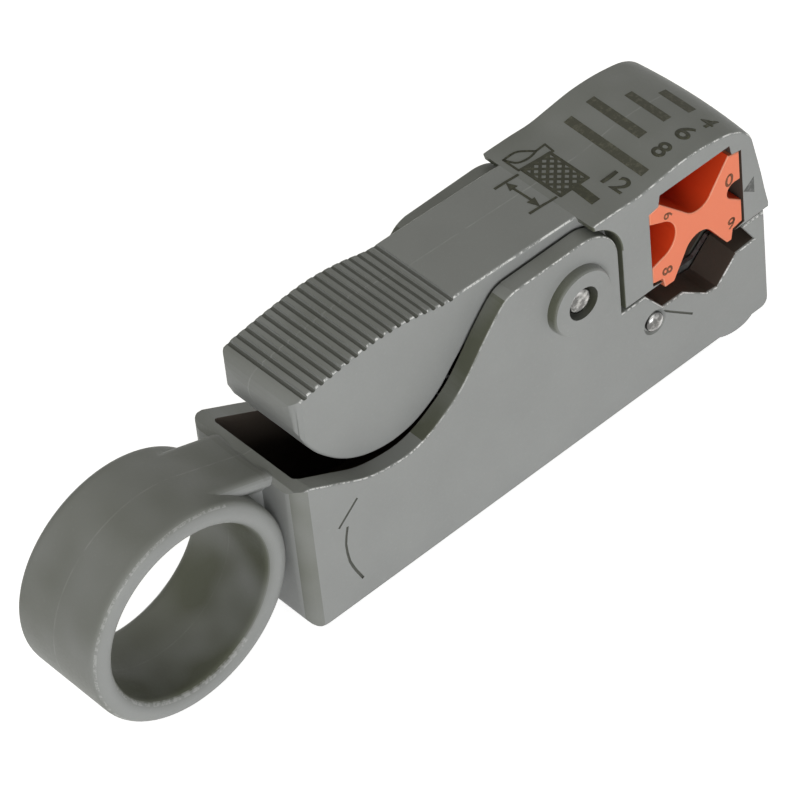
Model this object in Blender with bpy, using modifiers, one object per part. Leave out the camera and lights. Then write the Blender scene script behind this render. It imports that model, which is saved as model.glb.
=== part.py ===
"""Rotary coaxial cable stripper: finger ring, sprung thumb lever, four-groove guide block and two blades.

Millimetre figures are in the tool's own datum: x along the tool towards the jaws, y across it with the
near side at -9, z upwards from the flat bottom of the lower body.
"""
import bpy
import bmesh
from math import acos, atan2, cos, hypot, pi, radians, sin, sqrt
from mathutils import Matrix, Vector

MM = 0.001

# overall placing: the middle of the footprint becomes the origin
RING_X = -66.5
RING_RADIUS = 13.9
HEAD_FRONT = 19.87
FRONT_BOW = 0.53
REAR_END = RING_X - RING_RADIUS
FRONT_END = HEAD_FRONT + FRONT_BOW
FOOT_DROP = 1.4
SHIFT_X = -(REAR_END + FRONT_END) / 2

# lower body
BODY_HALF = 9.0
BODY_REAR = -52.5
BODY_FRONT = 19.05
BODY_RIM = 22.05
EAR_TOP = 29.35
EAR_FRONT = -3.65
EAR_RADIUS = 5.35
MATING = 14.72
REAR_CORNER = 2.2
EDGE = 0.3
WALL_INSIDE = -50.7
ARM_HALF = 6.35
ARM_GAP = 0.4
TROUGH_HALF = ARM_HALF + ARM_GAP
TROUGH_FLOOR = 2.2
TROUGH_FRONT = -6.5

# finger ring and neck
RING_Z = 12.9
RING_BORE = 11.05
RING_HALF = 6.85
NECK_HALF = 4.9
NECK_SLOPE = -0.354
NECK_ACROSS = hypot(1, NECK_SLOPE)
NECK_START = RING_X - RING_RADIUS * NECK_SLOPE / NECK_ACROSS
NECK_TOP = RING_Z + RING_RADIUS / NECK_ACROSS
NECK_END = -52.4
WEB_HALF = 3.1

# lever pivot
PIVOT_X = -10.4
PIVOT_Z = 22.0
PIN_RADIUS = 1.5
BORE_GAP = 0.06
TURNING_GAP = 0.08
BOSS_RADIUS = 4.3
BOSS_HEIGHT = 1.2
BOSS_BORE = 2.18
BOSS_BORE_DEPTH = 1.7
OUTSIDE = BODY_HALF + BOSS_HEIGHT + 2.0

# upper jaw
HEAD_BOTTOM = 14.97
HEAD_REAR = -3.05
PAD_REAR = -49.55
HEAD_GAP_RADIUS = 6.0
ARM_BOSS = 4.5
SPRING_SEAT = 23.6
RIB_COUNT = 19
RIB_FIRST = -48.75
RIB_PITCH = 1.265
RIB_DEPTH = 0.36

# guide block
BLOCK_X = 8.525
BLOCK_Z = 21.03
BLOCK_WIDE = 7.1
BLOCK_HIGH = 7.15
REBATE = (5.6, 5.65)
REBATE_MOUTH = (5.3, 5.35)
BLOCK_INSET = 0.1
BLOCK_HALF = BODY_HALF - BLOCK_INSET
WINDOW_GAP = 0.2

# blades and the pin and screws that hold them
BLADE_PIN_X = 1.12
BLADE_PIN_Z = 9.95
BLADE_PIN_RADIUS = 1.05
BLADE_Y = 3.85
BLADE_HALF = 0.28
SLOT_GAP = 0.3
SCREW_X = 14.4
SCREW_RADIUS = 1.3
SCREW_GAP = 0.2
SCREW_BOTTOM = -0.9
SCREW_TOP = 4.2
BLADE_LOW = 4.4

# return spring
SPRING_X = -22.0
SPRING_RADIUS = 2.65
SPRING_WIRE = 0.35
SPRING_TURNS = 8
SPRING_GAP = 0.1

# a curved arrow engraved in the near side, as its strokes
ARROW = [[(-47.2, 13.2), (-44.2, 15.8)],
         [(-46.1, 12.6), (-46.5, 11.4), (-46.7, 10.2), (-46.4, 7.2), (-45.6, 5.1), (-44.8, 3.3)]]

CROWN = [(-47.0, 32.2), (-42.0, 32.8), (-37.0, 33.2), (-34.0, 33.0), (-31.0, 32.5), (-27.0, 31.5)]


def clear_scene():
    for old in list(bpy.data.objects):
        bpy.data.objects.remove(old, do_unlink=True)


def smooth(points, steps):
    """A smooth line through points, with a number of steps between neighbours."""
    line = []
    ends = [points[0]] + list(points) + [points[-1]]
    for k in range(1, len(ends) - 2):
        a, b, c, d = ends[k - 1:k + 3]
        for s in range(steps):
            t = s / steps
            line.append(tuple(
                0.5 * (2 * b[i] + (c[i] - a[i]) * t + (2 * a[i] - 5 * b[i] + 4 * c[i] - d[i]) * t * t
                       + (3 * b[i] - a[i] - 3 * c[i] + d[i]) * t ** 3)
                for i in range(2)))
    line.append(tuple(points[-1]))
    return line


def arc(cx, cz, radius, start, stop, steps):
    """Points of an arc, with angles in degrees and both ends included."""
    angles = [radians(start + (stop - start) * k / steps) for k in range(steps + 1)]
    return [(cx + radius * cos(a), cz + radius * sin(a)) for a in angles]


def finish_mesh(name, bm, origin, smooth_angle=35):
    """Turns a bmesh in datum millimetres into an object whose origin is at a datum point."""
    bmesh.ops.recalc_face_normals(bm, faces=bm.faces[:])
    bmesh.ops.translate(bm, verts=bm.verts[:], vec=-Vector(origin))
    bmesh.ops.scale(bm, verts=bm.verts[:], vec=(MM, MM, MM))
    mesh = bpy.data.meshes.new(name)
    bm.to_mesh(mesh)
    bm.free()
    mesh.shade_smooth()
    mesh.set_sharp_from_angle(angle=radians(smooth_angle))
    piece = bpy.data.objects.new(name, mesh)
    piece.location = Vector(origin) * MM
    return piece


def curve_mesh(name, data, location, rotation):
    """Makes a mesh object of a curve, in the curve's place, so that it can be cut and joined."""
    curve = bpy.data.objects.new(name + "_curve", data)
    curve.location = Vector(location) * MM
    curve.rotation_euler = rotation
    bpy.context.scene.collection.objects.link(curve)
    evaluated = curve.evaluated_get(bpy.context.evaluated_depsgraph_get())
    mesh = bpy.data.meshes.new_from_object(evaluated)
    mesh.name = name
    bm = bmesh.new()
    bm.from_mesh(mesh)
    bmesh.ops.remove_doubles(bm, verts=bm.verts[:], dist=0.000001)
    bmesh.ops.dissolve_degenerate(bm, edges=bm.edges[:], dist=0.000001)
    bmesh.ops.recalc_face_normals(bm, faces=bm.faces[:])
    bm.to_mesh(mesh)
    bm.free()
    mesh.shade_smooth()
    mesh.set_sharp_from_angle(angle=radians(35))
    piece = bpy.data.objects.new(name, mesh)
    piece.matrix_world = curve.matrix_world
    bpy.data.objects.remove(curve, do_unlink=True)
    return piece


def flat_curve(name, outline, origin, half, edge):
    data = bpy.data.curves.new(name, "CURVE")
    data.dimensions = "2D"
    data.fill_mode = "BOTH"
    data.extrude = (half - edge) * MM
    data.bevel_depth = edge * MM
    data.bevel_resolution = 1
    data.offset = -edge * MM
    line = data.splines.new("POLY")
    line.points.add(len(outline) - 1)
    for point, (u, v) in zip(line.points, outline):
        point.co = ((u - origin[0]) * MM, (v - origin[1]) * MM, 0, 1)
    line.use_cyclic_u = True
    return data


def side_prism(name, outline, near, far, edge=0.0, origin=(0, 0)):
    """An x-z outline carried across the tool from y near to y far, its long edges rounded."""
    data = flat_curve(name, outline, origin, (far - near) / 2, edge)
    return curve_mesh(name, data, (origin[0], (near + far) / 2, origin[1]), (radians(90), 0, 0))


def plan_prism(name, outline, low, high):
    """An x-y outline carried upwards from z low to z high."""
    data = flat_curve(name, outline, (0, 0), (high - low) / 2, 0.0)
    return curve_mesh(name, data, (0, 0, (low + high) / 2), (0, 0, 0))


def bow_front(piece, start, full, origin_x=0.0):
    """Bows the front end of a prism in plan, so that its middle stands further out than its sides."""
    bm = bmesh.new()
    bm.from_mesh(piece.data)
    limit = (start - origin_x) * MM
    for k in range(-3, 4):
        faces = [f for f in bm.faces if max(v.co.x for v in f.verts) > limit]
        chosen = set(faces)
        edges = [e for e in bm.edges if any(f in chosen for f in e.link_faces)]
        bmesh.ops.bisect_plane(bm, geom=bm.verts[:] + edges + faces, dist=0.0000001,
                               plane_co=(0, 0, k * BODY_HALF / 4 * MM), plane_no=(0, 0, 1))
    for vert in bm.verts:
        x = vert.co.x / MM + origin_x
        across = vert.co.z / MM / BODY_HALF
        part = max(0.0, min(1.0, (x - start) / (full - start)))
        vert.co.x += FRONT_BOW * MM * part * (1 - across * across)
    bm.to_mesh(piece.data)
    bm.free()
    piece.data.set_sharp_from_angle(angle=radians(35))


def engraving(name, lines, side, width):
    """Round-bottomed strokes in a side face, each through its own x-z points."""
    data = bpy.data.curves.new(name, "CURVE")
    data.dimensions = "3D"
    data.bevel_depth = width / 2 * MM
    data.bevel_resolution = 1
    data.use_fill_caps = True
    for points in lines:
        line = data.splines.new("POLY")
        line.points.add(len(points) - 1)
        for point, (x, z) in zip(line.points, points):
            point.co = (x * MM, 0, z * MM, 1)
    return curve_mesh(name, data, (0, side * BODY_HALF, 0), (0, 0, 0))


def box(name, low, high):
    bm = bmesh.new()
    size = [b - a for a, b in zip(low, high)]
    middle = [(a + b) / 2 for a, b in zip(low, high)]
    place = Matrix.Translation(middle) @ Matrix.Diagonal((*size, 1))
    bmesh.ops.create_cube(bm, size=1, matrix=place)
    return finish_mesh(name, bm, (0, 0, 0))


def bars(name, rows, radius, near, far, axis="Y", steps=32):
    """Plain round bars of one radius, each through its own x-z point, or x-y point for axis Z."""
    bm = bmesh.new()
    middle = (near + far) / 2
    for u, v in rows:
        place = Matrix.Translation((u, v, middle))
        if axis == "Y":
            place = Matrix.Translation((u, middle, v)) @ Matrix.Rotation(radians(90), 4, "X")
        bmesh.ops.create_cone(bm, cap_ends=True, segments=steps, radius1=radius, radius2=radius,
                              depth=far - near, matrix=place)
    return finish_mesh(name, bm, (0, 0, 0))


def turned(name, profile, centre, axis, steps):
    """A turned solid: radius and height pairs, from the top down the outer side."""
    mesh = bpy.data.meshes.new(name)
    closed = profile[0][0] > 0
    count = len(profile)
    edges = [(k, (k + 1) % count) for k in range(count if closed else count - 1)]
    mesh.from_pydata([(r * MM, 0, h * MM) for r, h in profile], edges, [])
    piece = bpy.data.objects.new(name, mesh)
    piece.location = Vector(centre) * MM
    if axis == "Y":
        piece.rotation_euler = (radians(90), 0, 0)
    screw = piece.modifiers.new("turn", "SCREW")
    screw.axis = "Z"
    screw.steps = steps
    screw.render_steps = steps
    screw.use_merge_vertices = True
    screw.merge_threshold = 0.00001
    screw.use_smooth_shade = True
    return piece


def rounded_end(radius, height, fall, steps=3):
    """The outer half of a domed end, from its middle to its rim."""
    return [(radius * sin(k * pi / 2 / steps), height - fall * (1 - cos(k * pi / 2 / steps)))
            for k in range(steps + 1)]


def cut(target, tool, kind="DIFFERENCE"):
    change = target.modifiers.new(tool.name, "BOOLEAN")
    change.operation = kind
    change.object = tool
    change.solver = "EXACT"
    return tool


def material(name, colour, metallic, roughness):
    made = bpy.data.materials.new(name)
    made.use_nodes = True
    shader = made.node_tree.nodes["Principled BSDF"]
    shader.inputs["Base Color"].default_value = (*colour, 1)
    shader.inputs["Metallic"].default_value = metallic
    shader.inputs["Roughness"].default_value = roughness
    made.diffuse_color = (*colour, 1)
    return made


def tangent_angle(point, centre, radius, side):
    """Direction from a circle's centre to where a line from the point touches it."""
    dx, dz = point[0] - centre[0], point[1] - centre[1]
    return atan2(dz, dx) + side * acos(radius / hypot(dx, dz))


def groove(first, last, centre, radius, steps=6):
    """A groove with straight flanks and a round bottom, from one lip to the other."""
    start = tangent_angle(first, centre, radius, 1)
    stop = tangent_angle(last, centre, radius, -1)
    while stop < start:
        stop += 2 * pi
    if stop - start > pi:
        start = tangent_angle(first, centre, radius, -1)
        stop = tangent_angle(last, centre, radius, 1)
        while stop > start:
            stop -= 2 * pi
    line = [(centre[0] + radius * cos(start + (stop - start) * k / steps),
             centre[1] + radius * sin(start + (stop - start) * k / steps)) for k in range(steps + 1)]
    return [first] + line + [last]


def body_outline():
    outline = [(-50.0, 0.0), (BODY_FRONT - 1.2, 0.0)]
    outline += arc(BODY_FRONT - 1.2, 1.2, 1.2, -60, 0, 2)
    outline += [(BODY_FRONT, MATING), (15.38, MATING), (17.25, 11.6), (14.25, 11.4), (11.05, 8.35)]
    outline += [(9.5, 8.55), (5.87, 11.26), (2.6, 11.3), (0.0, MATING), (EAR_FRONT, MATING)]
    outline += arc(EAR_FRONT - EAR_RADIUS, EAR_TOP - EAR_RADIUS, EAR_RADIUS, 0, 90, 8)
    outline += smooth([(-19.2, EAR_TOP), (-21.0, 28.6), (-24.0, 25.5), (-28.0, 20.8), (-31.5, 18.3),
                       (-34.7, 16.93), (-37.7, 16.69), (-42.1, 17.55), (-46.3, 19.7), (-50.4, 21.9)], 3)
    outline += [(-52.0, BODY_RIM), (BODY_REAR, BODY_RIM - 0.5)]
    outline += arc(BODY_REAR + 2.5, 2.5, 2.5, 180, 250, 4)
    return outline


def neck_section(x):
    """Cross-section of the neck, flush with the ring at one end and a shallow channel at the other."""
    near_ring = max(0.0, (-60.0 - x) / 3.65)
    near_wall = max(0.0, (x - NECK_START) / (NECK_END - NECK_START))
    half = NECK_HALF + 0.9 * near_ring ** 2
    top = NECK_TOP + NECK_SLOPE * (x - NECK_START)
    if x < NECK_START:
        top = RING_Z - 0.05 + sqrt(RING_RADIUS ** 2 - (x - RING_X) ** 2)
    if x > NECK_END:
        top -= 0.4 * (x - NECK_END)
    dip = 0.3 * near_wall
    side = [(WEB_HALF, 5.0), (WEB_HALF, top - 3.6), (half - 1.1, top - 2.6), (half - 0.3, top - 1.8)]
    side += [(half, top - 1.0), (half - 0.15, top - 0.5), (half - 0.5, top - 0.15), (half - 1.1, top)]
    side += [(2.2, top - dip * 0.8)]
    return [(x, y, z) for y, z in side] + [(x, 0, top - dip)] + [(x, -y, z) for y, z in side[::-1]]


def neck_loft():
    """The neck between the finger ring and the rear wall, through its cross-sections."""
    bm = bmesh.new()
    places = [-63.65, -62.7, NECK_START, -61.0, -60.0, -58.0, -56.0, -54.0, NECK_END, -51.6]
    rows = [[bm.verts.new(p) for p in neck_section(x)] for x in places]
    for low, high in zip(rows, rows[1:]):
        for k in range(len(low)):
            bm.faces.new((low[k - 1], low[k], high[k], high[k - 1]))
    bm.faces.new(rows[0])
    bm.faces.new(rows[-1])
    return finish_mesh("neck", bm, (0, 0, 0))


def ring_profile():
    """Section of the finger ring: a straight outer side and bore with a full rounded rim between them."""
    rim = [(RING_RADIUS, RING_HALF - 1.15), (RING_RADIUS - 0.1, RING_HALF - 0.75)]
    rim += [(RING_RADIUS - 0.4, RING_HALF - 0.35), (RING_RADIUS - 0.9, RING_HALF - 0.1)]
    rim += [(RING_RADIUS - 1.5, RING_HALF), (RING_BORE + 0.75, RING_HALF - 0.15)]
    rim += [(RING_BORE + 0.3, RING_HALF - 0.5), (RING_BORE + 0.05, RING_HALF - 1.0)]
    rim += [(RING_BORE, RING_HALF - 1.65)]
    return [(r, y) for r, y in rim[::-1]] + [(r, -y) for r, y in rim]


def rounded_plan(x0, x1, half, radius, steps=3):
    outline = arc(x0 + radius, half - radius, radius, 90, 180, steps)
    outline += arc(x0 + radius, radius - half, radius, 180, 270, steps)
    return outline + [(x1, -half), (x1, half)]


def lower_body():
    body = side_prism("lower_body", body_outline(), -BODY_HALF, BODY_HALF, EDGE)
    bow_front(body, 10.0, 17.0)
    plan = rounded_plan(BODY_REAR - 0.01, BODY_FRONT + 5.0, BODY_HALF + 0.01, REAR_CORNER, 4)
    cutters = [cut(body, plan_prism("body_plan", plan, -5, 40), "INTERSECT")]

    neck = neck_loft()
    cutters.append(cut(neck, bars("ring_inside", [(RING_X, RING_Z)], 12.0, -OUTSIDE, OUTSIDE, steps=56)))
    cutters.append(cut(body, neck, "UNION"))
    ring = turned("ring", ring_profile(), (RING_X, 0, RING_Z), "Y", 56)
    cutters.append(cut(body, ring, "UNION"))

    for side in (-1, 1):
        face = BODY_HALF + BOSS_HEIGHT
        profile = [(0, face), (BOSS_RADIUS - 0.3, face), (BOSS_RADIUS, face - 0.3)]
        profile += [(BOSS_RADIUS + 0.15, BODY_HALF - 0.5), (0, BODY_HALF - 0.5)]
        boss = turned("boss_%s" % ("near" if side < 0 else "far"), profile, (PIVOT_X, 0, PIVOT_Z), "Y", 40)
        if side > 0:
            boss.rotation_euler = (radians(-90), 0, 0)
        cutters.append(cut(body, boss, "UNION"))

    foot = [(10.2, 0.7), (10.6, 0.0), (11.6, -0.7), (12.9, -1.2), (14.4, -FOOT_DROP), (15.8, -1.2)]
    foot += [(16.9, -0.65), (17.7, 0.0), (17.8, 0.7)]
    cutters.append(cut(body, side_prism("foot", foot, 0.5 - BODY_HALF, BODY_HALF - 0.5, 0.25), "UNION"))

    trough = rounded_plan(WALL_INSIDE, TROUGH_FRONT, TROUGH_HALF, 1.2)
    cutters.append(cut(body, plan_prism("trough", trough, TROUGH_FLOOR, 40)))
    low, high = (TROUGH_FRONT - 1, -TROUGH_HALF, MATING - 0.3), (EAR_FRONT + 0.12, TROUGH_HALF, 41)
    cutters.append(cut(body, box("ear_gap", low, high)))
    spigot = bars("spring_spigot", [(SPRING_X, 0)], 1.8, TROUGH_FLOOR - 0.8, TROUGH_FLOOR + 3, "Z", 20)
    cutters.append(cut(body, spigot, "UNION"))

    for side in (-1, 1):
        deep = BODY_HALF + BOSS_HEIGHT - BOSS_BORE_DEPTH
        name = "near" if side < 0 else "far"
        ends = sorted((side * deep, side * OUTSIDE))
        cutters.append(cut(body, bars("pin_recess_" + name, [(PIVOT_X, PIVOT_Z)], BOSS_BORE, *ends)))
        slot_half = BLADE_HALF + SLOT_GAP
        low = (-1.0, side * BLADE_Y - slot_half, 3.0)
        high = (17.0, side * BLADE_Y + slot_half, 20.0)
        cutters.append(cut(body, box("blade_slot_" + name, low, high)))
        where = [(SCREW_X, side * BLADE_Y)]
        cutters.append(cut(body, bars("screw_hole_" + name, where, SCREW_RADIUS + SCREW_GAP, -4, 5.7, "Z", 24)))
        face = BODY_HALF
        profile = [(0, face + 0.2), (2.1, face + 0.2), (1.9, face - 0.15), (1.5, face - 0.4), (0, face - 0.4)]
        dimple = turned("pin_dimple_" + name, profile, (BLADE_PIN_X, 0, BLADE_PIN_Z), "Y", 24)
        if side > 0:
            dimple.rotation_euler = (radians(-90), 0, 0)
        cutters.append(cut(body, dimple))
    cutters.append(cut(body, bars("pivot_bore", [(PIVOT_X, PIVOT_Z)], PIN_RADIUS + BORE_GAP, -OUTSIDE, OUTSIDE)))
    where = [(BLADE_PIN_X, BLADE_PIN_Z)]
    cutters.append(cut(body, bars("blade_pin_bore", where, BLADE_PIN_RADIUS + BORE_GAP, -OUTSIDE, OUTSIDE, steps=24)))
    cutters.append(cut(body, engraving("arrow_strokes", ARROW, -1, 0.55)))
    return body, cutters


def head_outline():
    gap_x, gap_z = EAR_FRONT - EAR_RADIUS, EAR_TOP - EAR_RADIUS
    outline = [(HEAD_REAR, HEAD_BOTTOM), (HEAD_FRONT, HEAD_BOTTOM)]
    outline += smooth([(HEAD_FRONT, 15.6), (19.4, 18.0), (18.9, 21.0), (18.1, 25.0), (17.6, 27.2),
                       (16.9, 28.3), (15.8, 29.3), (14.2, 30.1), (12.0, 30.6), (9.5, 30.92),
                       (6.4, 30.98), (3.2, 30.64), (0.1, 30.3), (-3.0, 30.45), (-7.2, 30.55)], 2)
    turn = arc(gap_x, gap_z, HEAD_GAP_RADIUS, 70, 0, 8)
    return outline + turn


def arm_outline():
    top = smooth([(-8.3, 30.65), (-16.0, 31.0), (-24.0, 31.35)] + CROWN[::-1], 4)
    rear = [(-48.3, 31.8), (-49.05, 31.2), (-49.5, 30.1), (-49.4, 28.9), (-48.95, 27.4)]
    under = smooth([(-47.9, 24.6), (-46.4, 22.3), (-43.9, 19.7), (-41.1, 17.9), (-38.3, 17.0),
                    (-35.5, 16.8), (-32.5, 17.4), (-29.2, 19.2), (-26.6, 21.8), (-24.6, SPRING_SEAT)], 2)
    boss = arc(PIVOT_X, PIVOT_Z, ARM_BOSS, 165, 290, 10)
    outline = [(-0.5, 17.2), (-0.5, 29.2), (-5.0, 29.6), (-6.9, 30.52)]
    return outline + top + rear + under + [(-16.6, SPRING_SEAT)] + boss


def crown_height(x):
    """Height of the thumb pad's top over a point along the tool."""
    if x < CROWN[0][0]:
        return CROWN[0][1] + 0.35 * (x - CROWN[0][0])
    for (x0, z0), (x1, z1) in zip(CROWN, CROWN[1:]):
        if x <= x1:
            return z0 + (z1 - z0) * (x - x0) / (x1 - x0)
    return CROWN[-1][1] - 0.1 * (x - CROWN[-1][0])


def rib_cutter():
    """The grooves of the thumb pad, as one row of round bars across it."""
    rows = [RIB_FIRST + k * RIB_PITCH for k in range(RIB_COUNT)]
    return bars("rib_grooves", [(x, crown_height(x)) for x in rows], RIB_DEPTH, -OUTSIDE, OUTSIDE, steps=10)


def upper_jaw():
    pivot = (PIVOT_X, PIVOT_Z)
    jaw = side_prism("upper_jaw", head_outline(), -BODY_HALF, BODY_HALF, EDGE, pivot)
    bow_front(jaw, 8.0, 15.0, PIVOT_X)

    arm = side_prism("arm", arm_outline(), -ARM_HALF, ARM_HALF, EDGE)
    bow = [(2.0, 1.3), (PAD_REAR + 2.65, 1.3), (PAD_REAR + 2.45, 1.04), (PAD_REAR + 1.55, 0.93)]
    bow += [(PAD_REAR + 0.65, 0.63), (PAD_REAR + 0.15, 0.32)]
    rear = [(x, y * ARM_HALF) for x, y in bow] + [(PAD_REAR, 0.0)] + [(x, -y * ARM_HALF) for x, y in bow[::-1]]
    cutters = [cut(arm, plan_prism("arm_plan", rear, 10, 36), "INTERSECT")]
    core = [(-47.0, 27.0), (-45.0, 23.0), (-41.0, 14.0), (-30.0, 14.0), (-30.0, 27.0), (-33.0, 30.4)]
    core += [(-38.0, 30.9), (-44.0, 30.0)]
    cutters.append(cut(arm, side_prism("pad_core", core, 1.85 - ARM_HALF, ARM_HALF - 1.85)))
    cutters.append(cut(jaw, arm, "UNION"))
    cutters.append(cut(jaw, rib_cutter()))

    window = []
    for side_x, side_z in ((1, -1), (1, 1), (-1, 1), (-1, -1)):
        corner = block_corner(side_x, side_z, WINDOW_GAP)
        window += corner if side_x * side_z > 0 else corner[::-1]
    window = [(BLOCK_X + u, BLOCK_Z + v) for u, v in window]
    cutters.append(cut(jaw, side_prism("window", window, -OUTSIDE, OUTSIDE)))
    cutters.append(cut(jaw, bars("arm_bore", [pivot], PIN_RADIUS + TURNING_GAP, -OUTSIDE, OUTSIDE)))
    spigot = bars("arm_spigot", [(SPRING_X, 0)], 1.5, SPRING_SEAT - 1.5, SPRING_SEAT + 0.8, "Z", 20)
    cutters.append(cut(jaw, spigot, "UNION"))
    return jaw, cutters


def block_corner(side_x, side_z, gap):
    """The rebate at one corner of the guide block, from its upright side inwards, widened by a gap."""
    points = [(BLOCK_WIDE + gap, REBATE_MOUTH[1] + gap), (REBATE[0] + gap, REBATE[1] + gap)]
    points += [(REBATE_MOUTH[0] + gap, BLOCK_HIGH + gap)]
    return [(side_x * u, side_z * v) for u, v in points]


def guide_block():
    w, h = BLOCK_WIDE, BLOCK_HIGH
    outline = groove((4.6, -h), (-3.9, -h), (0.25, -4.8), 2.3)[::-1]
    outline += block_corner(1, -1, 0)[::-1]
    outline += groove((w, 1.2), (w, -2.1), (6.1, 0.1), 1.15, 4)[::-1]
    outline += block_corner(1, 1, 0)[:2]
    outline += groove((-5.4, 5.8), (5.4, 5.8), (0.4, 3.4), 2.45)[::-1]
    outline += block_corner(-1, 1, 0)[:2][::-1]
    outline += groove((-w, -3.0), (-w, 3.7), (-6.0, 0.2), 2.75)[::-1]
    outline += block_corner(-1, -1, 0)
    outline = [(BLOCK_X + u, BLOCK_Z + v) for u, v in outline]
    return side_prism("guide_block", outline, -BLOCK_HALF, BLOCK_HALF, 0.2, (BLOCK_X, BLOCK_Z))


def blade(name, y):
    eye = arc(BLADE_PIN_X, BLADE_PIN_Z, 1.9, 205, 45, 8)
    outline = eye + [(5.8, 11.05), (8.3, 9.2), (12.2, 9.2), (14.5, 11.0), (16.2, 11.0), (16.2, BLADE_LOW)]
    outline += [(12.6, BLADE_LOW), (10.5, 5.6), (3.0, 6.6)]
    eye_centre = (BLADE_PIN_X, BLADE_PIN_Z)
    piece = side_prism(name, outline[::-1], y - BLADE_HALF, y + BLADE_HALF, 0, eye_centre)
    hole = bars(name + "_eye", [eye_centre], BLADE_PIN_RADIUS + TURNING_GAP, -OUTSIDE, OUTSIDE, steps=24)
    return piece, [cut(piece, hole)]


def set_screw(name, y):
    length = SCREW_TOP - SCREW_BOTTOM
    profile = [(0, length), (SCREW_RADIUS - 0.35, length), (SCREW_RADIUS, length - 0.35), (SCREW_RADIUS, 0.2)]
    profile += [(SCREW_RADIUS - 0.2, 0), (0, 0)]
    piece = turned(name, profile, (SCREW_X, y, SCREW_BOTTOM), "Z", 24)
    key = bars(name + "_socket", [(SCREW_X, y)], 0.87, SCREW_BOTTOM - 1, SCREW_BOTTOM + 1.6, "Z", 6)
    return piece, [cut(piece, key)]


def return_spring():
    low = TROUGH_FLOOR + SPRING_GAP + SPRING_WIRE
    high = SPRING_SEAT - SPRING_GAP - SPRING_WIRE
    per_turn = 14
    steps = SPRING_TURNS * per_turn
    data = bpy.data.curves.new("return_spring", "CURVE")
    data.dimensions = "3D"
    data.bevel_depth = SPRING_WIRE * MM
    data.bevel_resolution = 2
    data.use_fill_caps = True
    line = data.splines.new("POLY")
    line.points.add(steps)
    for k in range(steps + 1):
        turn = k / per_turn
        tail = SPRING_TURNS - turn
        closed = 0.72
        if turn < 1:
            z = low + closed * turn
        elif tail < 1:
            z = high - closed * tail
        else:
            z = low + closed + (high - low - 2 * closed) * (turn - 1) / (SPRING_TURNS - 2)
        angle = 2 * pi * turn
        line.points[k].co = (SPRING_RADIUS * cos(angle) * MM, SPRING_RADIUS * sin(angle) * MM, z * MM, 1)
    coil = bpy.data.objects.new("return_spring", data)
    coil.location = (SPRING_X * MM, 0, 0)
    return coil


def pivot_pin():
    near = BODY_HALF + BOSS_HEIGHT - 0.5
    far = near
    profile = rounded_end(PIN_RADIUS, near, 0.45)
    profile += [(PIN_RADIUS, 1.0 - BODY_HALF), (PIN_RADIUS, -(far - 1.1)), (1.95, -(far - 1.1))]
    profile += [(1.95, -(far - 0.5)), (1.5, -(far - 0.15)), (0.9, -far), (0, -far)]
    return turned("pivot_pin", profile, (PIVOT_X, 0, PIVOT_Z), "Y", 28)


def blade_pin():
    end = BODY_HALF - 0.12
    profile = rounded_end(BLADE_PIN_RADIUS, end, 0.3, 2)
    profile += [(r, -h) for r, h in profile[::-1]]
    return turned("blade_pin", profile, (BLADE_PIN_X, 0, BLADE_PIN_Z), "Y", 24)


def build():
    clear_scene()
    scene = bpy.context.scene
    tool = bpy.data.collections.new("Rotary coaxial cable stripper")
    spare = bpy.data.collections.new("cutters")
    scene.collection.children.link(tool)
    scene.collection.children.link(spare)

    root = bpy.data.objects.new("tool_datum", None)
    root.location = (SHIFT_X * MM, 0, FOOT_DROP * MM)
    tool.objects.link(root)

    body, body_cutters = lower_body()
    jaw, jaw_cutters = upper_jaw()
    jacket, jacket_cutters = blade("jacket_blade", -BLADE_Y)
    core, core_cutters = blade("core_blade", BLADE_Y)
    screw_a, screw_a_cutters = set_screw("jacket_screw", -BLADE_Y)
    screw_b, screw_b_cutters = set_screw("core_screw", BLADE_Y)
    cutters = body_cutters + jaw_cutters + jacket_cutters + core_cutters + screw_a_cutters + screw_b_cutters

    grey = (0.20, 0.205, 0.20)
    steel = (0.62, 0.63, 0.64)
    pieces = [
        (body, material("grey body moulding", grey, 0.0, 0.55)),
        (jaw, material("grey jaw moulding", grey, 0.0, 0.55)),
        (guide_block(), material("orange guide moulding", (0.86, 0.20, 0.10), 0.0, 0.4)),
        (pivot_pin(), material("pivot pin steel", steel, 1.0, 0.25)),
        (blade_pin(), material("blade pin steel", steel, 1.0, 0.25)),
        (return_spring(), material("spring steel", (0.45, 0.46, 0.47), 1.0, 0.35)),
        (jacket, material("jacket blade steel", steel, 1.0, 0.2)),
        (core, material("core blade steel", steel, 1.0, 0.2)),
        (screw_a, material("jacket screw steel", (0.08, 0.08, 0.085), 1.0, 0.45)),
        (screw_b, material("core screw steel", (0.08, 0.08, 0.085), 1.0, 0.45)),
    ]
    for piece, surface in pieces:
        piece.data.materials.append(surface)
        piece.parent = root
        tool.objects.link(piece)
    for cutter in cutters:
        cutter.parent = root
        cutter.hide_render = True
        cutter.display_type = "WIRE"
        spare.objects.link(cutter)


build()
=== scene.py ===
from math import acos, atan2, cos, hypot, pi, radians, sin, sqrt

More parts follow.
